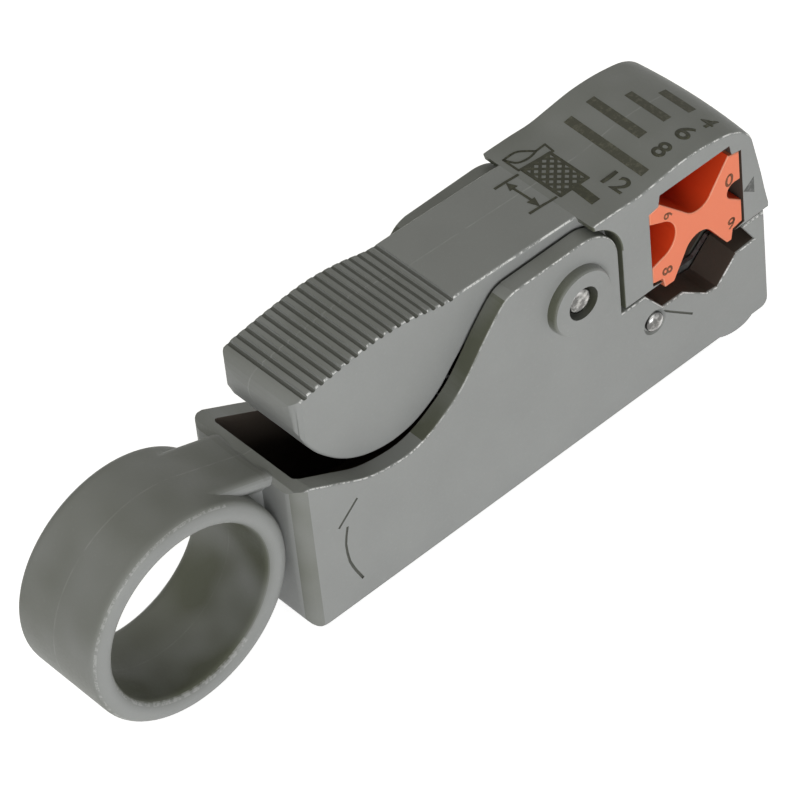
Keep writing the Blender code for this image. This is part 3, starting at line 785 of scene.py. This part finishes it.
def lower_moulding():
    """The lower moulding: trough, ears, lower jaw, neck and finger ring."""
    body = plate("body_moulding", body_outline(), -BODY_HALF, BODY_HALF, sizes().edge)
    bow_front(body, *BODY_BOW)
    # Painted highlight on the long rounded edges, weaker on the slope.
    mark(body, "edge_highlight", lambda x, y, z, n: on_long_edge(x, y, z, n) * (0.35 if -33.0 < x < -20.0 else 1.0))
    mark(body, "cut_shade", 0)
    plan = rounded_plan(BODY_REAR - 0.01, BODY_FRONT + 5.0, BODY_HALF + 0.01, 2.2, 8)
    combine(body, "INTERSECT", slab("plan", plan, -5, 40))
    places = [-63.65 + 0.45 * k for k in range(27)]
    stem = loft("neck", [neck_section(x) for x in places])
    carve(stem, bar("ring_inside", RING, 12.0, -12, 12, steps=96))
    ring = spun("ring", ring_profile(), (RING[0], 0, RING[1]), 112)
    # Painted highlight: a faint pale band on the ring's rounded lips.
    mark(ring, "edge_highlight", lambda x, y, z, normal: 0.2 * (0.5 < abs(normal.y) < 0.8 and x < -60.0))
    add(body, stem, ring)
    for side in (-1, 1):
        profile = [(0.0, 8.5), (4.45, 8.5), (4.45, 9.0), (4.38, 9.9), (4.3, 10.05), (4.15, 10.2), (0.0, 10.2)]
        add(body, lathe("boss", [(r, side * h) for r, h in profile], (PIVOT[0], 0, PIVOT[1]), 64))
    foot = [(10.2, 0.7)] + smooth([(10.6, 0.0), (11.6, -0.7), (12.9, -1.2), (14.4, -1.4), (15.8, -1.2),
                                   (16.9, -0.65), (17.7, 0.0)], 3) + [(17.8, 0.7)]
    add(body, plate("foot", foot, -8.5, 8.5, 0.3))
    trough = rounded_plan(WALL_INSIDE, -6.5, TROUGH_HALF, 0.6, 4)
    carve(body, slab("trough", trough, TROUGH_FLOOR, 40),
          block("ear_gap", (-7.5, -TROUGH_HALF, MATING - 0.3), (EAR[0] + EAR_RADIUS + 0.12, TROUGH_HALF, 41)))
    add(body, bar("spigot", (SPRING_X, 0), 1.8, 1.4, 5.2, "Z", 32))
    carve(body, bar("pivot_bore", PIVOT, 1.56, -12, 12), bar("blade_pin_bore", BLADE_PIN, 1.11, -12, 12))
    for side in (-1, 1):
        ends = sorted((side * 8.5, side * 12.0))
        middle = side * BLADE_Y
        recess = bar("pin_recess", PIVOT, 2.18, *ends, steps=49)
        slot = block("blade_slot", (-1.0, middle - SLOT_HALF, 3.0), (17.0, middle + SLOT_HALF, 20.0))
        # Painted shade in the pin recess and the blade slot.
        carve(body, mark(recess, "cut_shade", 0.5), mark(slot, "cut_shade", 1),
              bar("screw_hole", (SCREW_X, middle), 1.5, -4.0, 5.7, "Z", 32))
        dimple = [(0.0, 8.6), (1.42, 8.6), (1.5, 8.7), (1.65, 8.9), (1.85, 9.2), (0.0, 9.2)]
        carve(body, lathe("dimple", [(r, side * h) for r, h in dimple], (BLADE_PIN[0], 0, BLADE_PIN[1]), 49))
    # Painted shade in the strokes of the arrow and the faint line.
    for name, lines, out, width in (("arrow", ARROW, 0.03, 0.36), ("faint_line", [FAINT_LINE], 0.04, 0.3)):
        strokes = [[(x, -BODY_HALF - out, z) for x, z in line] for line in lines]
        carve(body, mark(wires(name, strokes, width), "cut_shade", 1))
    right_way_out(body)

    def rim_edge(e):
        """The rims of the trough, which the plate's own rounding doesn't reach."""
        ends = [v.co for v in e.verts]
        x = [c.x / MM - SHIFT_X for c in ends]
        low = min(c.z / MM - SHIFT_Z for c in ends)
        if not sharp(e) or min(x) < -50.8 or max(x) > -4.2 or low < 15.5:
            return False
        return (all(abs(abs(c.y / MM) - TROUGH_HALF) < 0.02 for c in ends)
                or all(abs(v - WALL_INSIDE) < 0.02 for v in x))

    def recess_shade(x, y, z, normal):
        """Painted shade: how dark the notch, the trough and the crease behind the neck are painted."""
        if -0.05 < x < 17.3 and 3.0 < z < 14.6 and abs(normal.y) < 0.3 and abs(y) < 8.95:
            return 1.0
        if -50.75 < x < -5.0 and abs(y) < 6.8 and z < 24.0:
            return 1.0
        return 0.12 * (-53.3 < x < -52.3 and abs(y) < NECK_HALF and normal.z > 0.5)

    def painted_shade(x, y, z, normal):
        """Painted shade: how dark and olive the plastic is painted, most inside the ring, less on what faces
        up.
        """
        side_on = min(1.0, 1.8 * (1 - abs(normal.y)))
        # Painted shade on the upper left flank of the pivot boss.
        if abs(y) > BODY_HALF + 0.02 and hypot(x - PIVOT[0], z - PIVOT[1]) < 4.6:
            return 0.75 * (abs(normal.y) < 0.8) * max(0.0, normal.z - normal.x)
        # Painted shadow of the ring on the rear corner of the body.
        if BODY_REAR - 0.1 < x < -50.0 and normal.z < 0.5:
            return 0.6 * (-0.93 < normal.x < -0.15)
        if x < BODY_REAR - 0.2:
            inside = hypot(x - RING[0], z - RING[1]) < RING_BORE + 0.3
            return side_on * (0.8 if inside else 0.4)
        on_slope = -34.0 < x < -20.5
        return side_on * max(0.0, normal.z) * (1.2 if on_slope else 0.35)

    soften(body, 0.2, rim_edge)
    # Painted shade in the notch, the trough and the neck's crease.
    mark(body, "recess_shade", recess_shade)
    # Painted olive shade on upward faces, inside the ring, on the boss and by the rear corner.
    mark(body, "painted_shade", painted_shade)
    return polish(body)


def upper_moulding():
    """The upper moulding: head with its window, arm and ribbed thumb pad."""
    setup = sizes()
    jaw = plate("jaw_moulding", head_outline(), -BODY_HALF, BODY_HALF, setup.edge)
    bow_front(jaw, *HEAD_BOW)
    # Painted highlight on the head's long rounded edges.
    mark(jaw, "edge_highlight", on_long_edge)
    mark(jaw, "cut_shade", 0)

    arm = plate("arm", arm_outline(), -ARM_HALF, ARM_HALF, setup.edge + 0.1)
    # Painted highlight on the arm's long rounded edges.
    mark(arm, "edge_highlight", on_long_edge)
    mark(arm, "cut_shade", 0)
    bow = [(2.0, 8.2), (-47.7, 8.2)]
    bow += smooth([(-47.9, 6.6), (-48.2, 6.25), (-48.7, 5.8), (-49.2, 4.9), (-49.45, 3.4), (-49.55, 0.0)], 4)
    rear = bow + [(x, -y) for x, y in bow[-2::-1]]
    combine(arm, "INTERSECT", slab("rear", rear, 10, 36))
    core = [(-47.0, 27.0), (-45.0, 23.0), (-41.0, 14.0), (-30.0, 14.0), (-30.0, 27.0), (-33.0, 30.4)]
    core += [(-38.0, 30.9), (-44.0, 30.0)]
    carve(arm, plate("core", core, -4.5, 4.5))
    ribs = []
    for k in range(setup.ribs):
        x = RIB_START + k * RIB_PITCH
        ribs.append(bar("groove", (x, crown_height(x)), setup.rib_depth, -12, 12, steps=16))
    # Painted shade along the floors of the pad's grooves.
    carve(arm, mark(gather(ribs, "grooves"), "cut_shade", lambda x, y, z, normal: 0.8 * (normal.z < -0.8)))
    add(jaw, arm)

    carve(jaw, plate("window", window_outline(), -12, 12), bar("bore", PIVOT, 1.58, -12, 12))
    add(jaw, bar("spigot", (SPRING_X, 0), 1.5, SPRING_SEAT - 1.5, SPRING_SEAT + 0.8, "Z", 32))
    right_way_out(jaw)
    reach = BLOCK_WIDE + WINDOW_GAP + 0.02

    def window_edge(e):
        return sharp(e) and all(abs(abs(v.co.y / MM) - BODY_HALF) < 0.02
                                and abs(v.co.x / MM - SHIFT_X - BLOCK[0]) < reach for v in e.verts)

    def in_window(x, y, z, normal):
        return abs(x - BLOCK[0]) < reach and abs(normal.y) < 0.3 and abs(y) < 8.8 and z < 28.5

    def painted_shade(x, y, z, normal):
        """Painted shade: how dark and olive the plastic is painted, most behind the ears' gap, on the arm
        least.
        """
        past_ear = hypot(x - EAR[0], z - EAR[1]) < HEAD_GAP_RADIUS + 0.1
        if (past_ear or x < HEAD_REAR + 0.1) and x > EAR[0] + 1.8 and normal.x < -0.3:
            return 1.0
        on_arm = -26.5 < x < -7.5
        return min(1.0, 1.8 * (1 - abs(normal.y))) * max(0.0, normal.z) * (0.06 if on_arm else 0.34)

    soften(jaw, 0.12, window_edge)
    # Painted shade in the window around the guide block.
    mark(jaw, "recess_shade", in_window)
    # Painted olive shade behind the ears' gap and on upward faces.
    mark(jaw, "painted_shade", painted_shade)
    return polish(jaw)


def guide_moulding():
    guide = plate("guide_moulding", block_outline(), -BLOCK_HALF, BLOCK_HALF, 0.2)

    def in_groove(x, y, z, normal):
        inside = hypot(x - BLOCK[0], z - BLOCK[1]) < 8.0 and max(abs(x - BLOCK[0]), abs(z - BLOCK[1])) < 7.0
        return inside and abs(normal.y) < 0.2

    mark(guide, "groove", in_groove)
    # Painted highlight on the guide block's rounded edges.
    mark(guide, "edge_highlight", lambda x, y, z, normal: 0.3 < abs(normal.y) < 0.95)
    return polish(guide)


def dome(radius, end, fall, steps=6):
    """The outer half of a domed pin end, from its middle to its rim."""
    return [(radius * sin(k * pi / 2 / steps), end - fall * (1 - cos(k * pi / 2 / steps)))
            for k in range(steps + 1)]


def twin(piece, name):
    """A copy with a mesh of its own, on the other side of the tool."""
    hold(piece)
    bpy.ops.object.duplicate(linked=False)
    other = bpy.context.object
    other.name = name
    bpy.ops.transform.translate(value=(0, 2 * BLADE_Y * MM, 0))
    return settle(other)


def blade_plate():
    """The near blade: a flat plate with an eye, its cutting edge ground on both sides."""
    outline = arc(*BLADE_PIN, 1.9, 205, 45, 16)
    outline += [(5.8, 11.05), (8.3, EDGE_LEVEL), (12.2, EDGE_LEVEL), (14.5, 11.0), (16.2, 11.0), (16.2, 4.4),
                (12.6, 4.4), (10.5, 5.6), (3.0, 6.6)]
    blade = plate("jacket_cutter_blade", outline[::-1], -BLADE_Y - BLADE_HALF, BLADE_HALF - BLADE_Y)
    carve(blade, bar("eye", BLADE_PIN, 1.13, -12, 12, steps=40))

    def cutting_edge(e):
        ends = [v.co / MM for v in e.verts]
        return all(abs(c.z - SHIFT_Z - EDGE_LEVEL) < 0.01 for c in ends) and abs(ends[0].y - ends[1].y) < 0.01

    soften(blade, 0.2, cutting_edge, 1)
    return polish(right_way_out(blade))


def setting_screw():
    """The near set screw: a headless screw with a hexagon socket in its lower end."""
    top = 5.1
    profile = [(0.0, 0.0), (SCREW_RADIUS - 0.2, 0.0), (SCREW_RADIUS, 0.2)]
    for k in range(9):
        z = 0.35 + k * 0.5
        profile += [(SCREW_RADIUS, z), (SCREW_RADIUS - 0.16, z + 0.22)]
    profile += [(SCREW_RADIUS, 4.7), (SCREW_RADIUS - 0.35, top), (0.0, top)]
    screw = lathe("jacket_set_screw", profile, (SCREW_X, -BLADE_Y, -0.9), 40, "Z")
    carve(screw, bar("socket", (SCREW_X, -BLADE_Y), 0.87, -1.9, 0.7, "Z", 6))
    return polish(screw)


def coil():
    """The return spring, from its closed lower turn to its closed upper one."""
    low = TROUGH_FLOOR + 0.1 + SPRING_WIRE
    high = SPRING_SEAT - 0.1 - SPRING_WIRE
    turns, closed = sizes().spring_turns, 0.72
    points = []
    for k in range(turns * 28 + 1):
        turn = k / 28
        if turn < 1:
            z = low + closed * turn
        elif turns - turn < 1:
            z = high - closed * (turns - turn)
        else:
            z = low + closed + (high - low - 2 * closed) * (turn - 1) / (turns - 2)
        points.append((SPRING_X + SPRING_RADIUS * cos(2 * pi * turn), SPRING_RADIUS * sin(2 * pi * turn), z))
    return polish(wires("coil_spring", [points], 2 * SPRING_WIRE), weighted=False)


def patch(corners, lift, steps=6):
    """A thin printed patch laid on the head's top between four corners."""
    piece = begin("patch", bpy.ops.mesh.primitive_grid_add, x_subdivisions=steps, y_subdivisions=steps,
                  size=2.0)
    a, b, c, d = [Vector(corner) for corner in corners]
    places = [((v.co.x + 1) / 2, (v.co.y + 1) / 2) for v in piece.data.vertices]
    spots = [(a * (1 - u) + b * u) * (1 - w) + (d * (1 - u) + c * u) * w for u, w in places]
    for vertex, spot in zip(piece.data.vertices, spots):
        vertex.co = at(spot.x, spot.y, head_height(spot.x, spot.y) + lift)
    open_up()
    pull(0, 0, -0.08)
    return right_way_out(piece)


def ribbon(points, width, lift):
    """A printed line on the head's top, one patch to each stretch."""
    pieces = []
    for (x0, y0), (x1, y1) in zip(points, points[1:]):
        length = hypot(x1 - x0, y1 - y0)
        u, v = (x1 - x0) / length * width / 2, (y1 - y0) / length * width / 2
        corners = [(x0 - u * 0.6 - v, y0 - v * 0.6 + u), (x0 - u * 0.6 + v, y0 - v * 0.6 - u),
                   (x1 + u * 0.6 + v, y1 + v * 0.6 - u), (x1 + u * 0.6 - v, y1 + v * 0.6 + u)]
        pieces.append(patch(corners, lift, 4))
    return pieces


def figures(text, place):
    """Printed figures made into a thin mesh and laid out by a function of glyph place and depth."""
    words = begin("figure", bpy.ops.object.text_add)
    words.data.body = text
    words.data.offset = 0.018
    hold(words)
    bpy.ops.object.convert(target="MESH")
    piece = bpy.context.object
    low = [min(v.co[i] for v in piece.data.vertices) for i in range(2)]
    high = [max(v.co[i] for v in piece.data.vertices) for i in range(2)]
    open_up()
    bpy.ops.mesh.remove_doubles(threshold=0.0001)
    pull(0, 0, -1000)
    close_up()
    for vertex in piece.data.vertices:
        u, v = [(vertex.co[i] - low[i]) / (high[i] - low[i]) for i in range(2)]
        vertex.co = place(u, v, vertex.co.z < -0.5)
    return right_way_out(piece)


def head_figures(text, x0, x1, y0, y1):
    """Figures on the head's top that read towards the near side, in a box of the datum."""
    def place(u, v, deep):
        x, y = x0 + (x1 - x0) * v, y1 + (y0 - y1) * u
        return at(x, y, head_height(x, y) + (-0.05 if deep else PRINT_LIFT))
    return figures(text, place)


def guide_figures(text, x, z, height, turn):
    """A figure on the guide block's near face, turned by an angle."""
    def place(u, v, deep):
        across, up = (u - 0.5) * height * 0.72 + (v - 0.5) * height * 0.12, (v - 0.5) * height
        return at(x + across * cos(turn) - up * sin(turn), -BLOCK_HALF + (0.05 if deep else -0.02),
                  z + across * sin(turn) + up * cos(turn))
    return figures(text, place)


def length_bars():
    """The printed strip lengths on the head's top."""
    bars = [((2.3, -6.95), (3.55, -6.95), (3.85, 5.85), (2.6, 5.85)),
            ((6.15, -2.65), (7.5, -2.65), (7.65, 6.1), (6.35, 6.1)),
            ((10.05, -2.65), (11.3, -2.65), (11.3, 3.75), (10.15, 3.75)),
            ((13.35, -3.3), (14.55, -3.3), (14.55, 1.6), (13.35, 1.6))]
    return gather([patch(corners, PRINT_LIFT, 8) for corners in bars], "head_scale_print")


def cable_drawing():
    """The printed drawing of a stripped cable: braid, core, peeled jacket and a length arrow."""
    x0, x1, y0, y1 = -5.95, -1.8, -2.6, 3.5
    middle_x, middle_y = (x0 + x1) / 2, (y0 + y1) / 2
    pieces = ribbon([(x0, y0), (x1, y0), (x1, y1), (x0, y1), (x0, y0)], 0.45, 0.036)
    for slope in (-1, 1):
        for k in range(9):
            offset = -4.9 + k * 1.225
            ends = []
            for x in (x0, x1):
                y = slope * (x - middle_x) + offset
                y_held = max(y0 - middle_y, min(y1 - middle_y, y))
                ends.append((middle_x + (y_held - offset) * slope, middle_y + y_held))
            if hypot(ends[0][0] - ends[1][0], ends[0][1] - ends[1][1]) > 0.4:
                pieces += ribbon(ends, 0.4, PRINT_LIFT + 0.003 * slope)
    pieces += [patch(((-4.6, -6.15), (-3.3, -6.15), (-3.1, -2.5), (-4.4, -2.5)), PRINT_LIFT, 6)]
    jacket = [(-6.3, 6.35), (-6.3, 3.85), (-1.35, 3.45), (-1.2, 4.95), (-2.75, 4.8)]
    peel_low = smooth([(-2.75, 4.8), (-3.7, 4.55), (-4.8, 4.6), (-5.7, 5.05), (-6.3, 6.35)], 3)
    peel_high = smooth([(-2.75, 4.8), (-3.6, 5.7), (-4.6, 6.35), (-6.3, 6.35)], 3)
    for line in (jacket, peel_low, peel_high):
        pieces += ribbon(line, 0.28, 0.04)
    for line in ([(-10.3, 3.45), (-6.85, 3.4)], [(-10.4, -2.3), (-6.45, -2.4)]):
        pieces += ribbon(line, 0.32, PRINT_LIFT)
    pieces += ribbon([(-8.85, 2.4), (-8.75, -0.9)], 0.3, PRINT_LIFT)
    for tip, foot in ((3.25, 2.0), (-2.2, -0.75)):
        pieces.append(patch(((-8.82, tip), (-8.78, tip), (-8.2, foot), (-9.4, foot)), 0.035, 4))
    return pieces


def hand_over(piece, material, body, node, replaces=True):
    """Gives a finished piece its material and the body it rides on, and hides the solid it stands for; the
    solid it only lies on is not used.
    """
    dress(piece, material)
    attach(piece, body)
    if replaces:
        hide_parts(node)


class STRIPPER_OT_body(Operator):
    """Model the lower moulding: trough, ears, lower jaw, neck and finger ring"""
    bl_idname = "stripper.body"
    bl_label = "Lower body"

    def execute(self, context):
        finish = grey_moulding(look(), "grey body moulding", BODY_SEAM)
        hand_over(lower_moulding(), finish, "body", "lower_body")
        return {"FINISHED"}


class STRIPPER_OT_jaw(Operator):
    """Model the upper moulding: head, arm and ribbed thumb pad"""
    bl_idname = "stripper.jaw"
    bl_label = "Upper jaw"

    def execute(self, context):
        finish = grey_moulding(look(), "grey jaw moulding", JAW_SEAM)
        hand_over(upper_moulding(), finish, "lever", "upper_jaw")
        return {"FINISHED"}


class STRIPPER_OT_guide(Operator):
    """Model the orange guide block with a groove in each side"""
    bl_idname = "stripper.guide"
    bl_label = "Guide block"

    def execute(self, context):
        hand_over(guide_moulding(), orange_moulding(look()), "guide", "guide_block")
        return {"FINISHED"}


class STRIPPER_OT_pins(Operator):
    """Model the riveted lever pin and the blade pin"""
    bl_idname = "stripper.pins"
    bl_label = "Pins"

    def execute(self, context):
        # Painted reflection: the deep dark patches stand for dark surroundings mirrored in the pins.
        steel = steel_tone_and_reflection("bright pin steel", look().steel, 0.2, 0.8, 0.2)
        near = [(r, -h) for r, h in dome(1.65, 10.0, 0.45)] + [(1.65, -8.7), (1.5, -8.65)]
        far = [(1.5, 8.6), (1.95, 8.6), (1.95, 9.2), (1.8, 9.45), (1.5, 9.6), (0.8, 9.7), (0.0, 9.7)]
        pivot = lathe("pivot_rivet", near + far, (PIVOT[0], 0, PIVOT[1]), 48)
        end = dome(1.3, 9.5, 0.6) + [(1.3, 8.7), (1.05, 8.65)]
        both_ends = [(r, -h) for r, h in end] + end[::-1]
        hinge = lathe("blade_rivet", both_ends, (BLADE_PIN[0], 0, BLADE_PIN[1]), 40)
        for piece, node in ((pivot, "pivot_pin"), (hinge, "blade_pin")):
            hand_over(polish(piece), steel, "body", node)
        return {"FINISHED"}


class STRIPPER_OT_cutters(Operator):
    """Model the two blades and the set screws under them"""
    bl_idname = "stripper.cutters"
    bl_label = "Blades and screws"

    def execute(self, context):
        ground = steel_tone_and_reflection("ground blade steel", darker(look().steel, 0.35), 0.6, 2.0)
        black = steel_tone_and_reflection("blackened screw steel", (0.1, 0.1, 0.105), 0.45)
        blade, screw = blade_plate(), setting_screw()
        other_blade, other_screw = twin(blade, "core_cutter_blade"), twin(screw, "core_set_screw")
        for piece, steel, body, node in ((blade, ground, "jacket_cutter", "jacket_blade"),
                                         (other_blade, ground, "core_cutter", "core_blade"),
                                         (screw, black, "jacket_setting", "jacket_screw"),
                                         (other_screw, black, "core_setting", "core_screw")):
            hand_over(piece, steel, body, node)
        return {"FINISHED"}


class STRIPPER_OT_spring(Operator):
    """Model the return spring under the thumb pad"""
    bl_idname = "stripper.spring"
    bl_label = "Return spring"

    def execute(self, context):
        spring = coil()
        wire = steel_tone_and_reflection("spring wire", (0.45, 0.46, 0.47), 0.35)
        hand_over(spring, wire, "body", "return_spring")
        at(SPRING_X, 0, TROUGH_FLOOR)
        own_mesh(spring)
        return {"FINISHED"}


class STRIPPER_OT_print(Operator):
    """Lay the printed scale, figures and drawing on the head and the guide block"""
    bl_idname = "stripper.print"
    bl_label = "Print"

    def execute(self, context):
        hand_over(length_bars(), print_finish("scale print", look().bar_ink), "lever", "upper_jaw", False)
        boxes = (("12", -1.24, 1.16, -7.13, -3.98), ("8", 5.38, 7.88, -6.74, -4.94),
                 ("6", 9.2, 11.8, -6.75, -4.75), ("4", 12.8, 14.9, -6.87, -5.07))
        drawing = gather([head_figures(*box) for box in boxes] + cable_drawing(), "head_figure_print")
        hand_over(drawing, print_finish("figure print", look().ink), "lever", "upper_jaw", False)
        corners = (("0", 13.83, 23.2, 1.75, 0.0), ("6", 4.2, 24.45, 1.35, -pi / 2),
                   ("9", 13.82, 16.5, 1.6, 0.0), ("8", 3.6, 16.3, 1.6, -pi / 2))
        digits = gather([guide_figures(*corner) for corner in corners], "guide_figure_print")
        hand_over(digits, print_finish("guide print", look().guide_ink), "guide", "guide_block", False)
        triangle = [(15.87, 20.08), (17.57, 18.88), (17.57, 21.28)]
        pointer = plate("pointer_print", triangle, -BODY_HALF - 0.02, -BODY_HALF + 0.05)
        hand_over(pointer, print_finish("pointer print", (0.11, 0.112, 0.108)), "lever", "upper_jaw", False)
        return {"FINISHED"}


class STRIPPER_OT_stage(Operator):
    """Set the floor, the lights and the camera"""
    bl_idname = "stripper.stage"
    bl_label = "Stage"

    def execute(self, context):
        setup = context.scene.stripper_stage
        floor = begin("floor", bpy.ops.mesh.primitive_plane_add, size=6, location=(0, 0, 0))
        paper = Finish("floor paper", setup.floor, 0.9, specular=0.1)
        paper.put("Emission Strength", FLOOR_GLOW)
        paper.put("Emission Color", paper.seen_directly())
        dress(floor, paper.material)

        context.scene.world = bpy.data.worlds.new("studio")
        world = NodeMaker(context.scene.world)
        room = world.node("ShaderNodeBackground", None, ((1.0, 1.0, 0.93, 1), setup.sky))
        paper_white = world.node("ShaderNodeBackground", None, ((1, 1, 1, 1), 1.0))
        mix = world.node("ShaderNodeMixShader", None, (world.seen_directly(), room, paper_white))
        world.tree.links.new(mix.socket, world.tree.nodes["World Output"].inputs["Surface"])

        lamps = (("key box", (-0.42, -0.95, 0.24), 0.8, setup.key, (0.98, 0.985, 1.0)),
                 ("top box", (-0.4, 0.3, 0.9), 0.7, setup.top, (1.0, 1.0, 0.86)))
        for name, place, size, power, colour in lamps:
            lamp = begin(name, bpy.ops.object.light_add, type="AREA", location=place)
            lamp.data.shape = "RECTANGLE"
            lamp.data.size, lamp.data.size_y = size, size * 0.7
            lamp.data.energy = power
            lamp.data.color = colour
            lamp.rotation_euler = (-lamp.location).to_track_quat("-Z", "Y").to_euler()

        camera = begin("photo camera", bpy.ops.object.camera_add, location=(-0.259881, -0.332801, 0.44008),
                       rotation=(0.779589, 0.079635, -0.743798))
        camera.data.sensor_width = 36.0
        camera.data.lens = 241.266
        camera.data.clip_start = 0.01
        camera.data.clip_end = 20.0
        context.scene.camera = camera
        context.scene.view_settings.view_transform = "Standard"
        return {"FINISHED"}


class STRIPPER_PT_panel(Panel):
    bl_label = "Coaxial cable stripper"
    bl_idname = "STRIPPER_PT_panel"
    bl_space_type = "VIEW_3D"
    bl_region_type = "UI"
    bl_category = "Stripper"

    def draw(self, context):
        column = self.layout.column()
        for name, group in GROUPS.items():
            for key in group.__annotations__:
                column.prop(getattr(context.scene, name), key)
        for operator in OPERATORS:
            column.operator(operator.bl_idname)


OPERATORS = (STRIPPER_OT_body, STRIPPER_OT_jaw, STRIPPER_OT_guide, STRIPPER_OT_pins, STRIPPER_OT_cutters,
             STRIPPER_OT_spring, STRIPPER_OT_print, STRIPPER_OT_stage)
GROUPS = {"stripper_look": StripperLook, "stripper_sizes": StripperSizes, "stripper_stage": StripperStage}
CLASSES = (*GROUPS.values(), *OPERATORS, STRIPPER_PT_panel)


def register():
    for item in CLASSES:
        bpy.utils.register_class(item)
    for name, group in GROUPS.items():
        setattr(bpy.types.Scene, name, PointerProperty(type=group))


def unregister():
    for name in GROUPS:
        delattr(bpy.types.Scene, name)
    for item in reversed(CLASSES):
        bpy.utils.unregister_class(item)


def main():
    register()
    bpy.ops.stripper.body()
    bpy.ops.stripper.jaw()
    bpy.ops.stripper.guide()
    bpy.ops.stripper.pins()
    bpy.ops.stripper.cutters()
    bpy.ops.stripper.spring()
    bpy.ops.stripper.print()
    bpy.ops.stripper.stage()


if __name__ == "__main__":
    main()
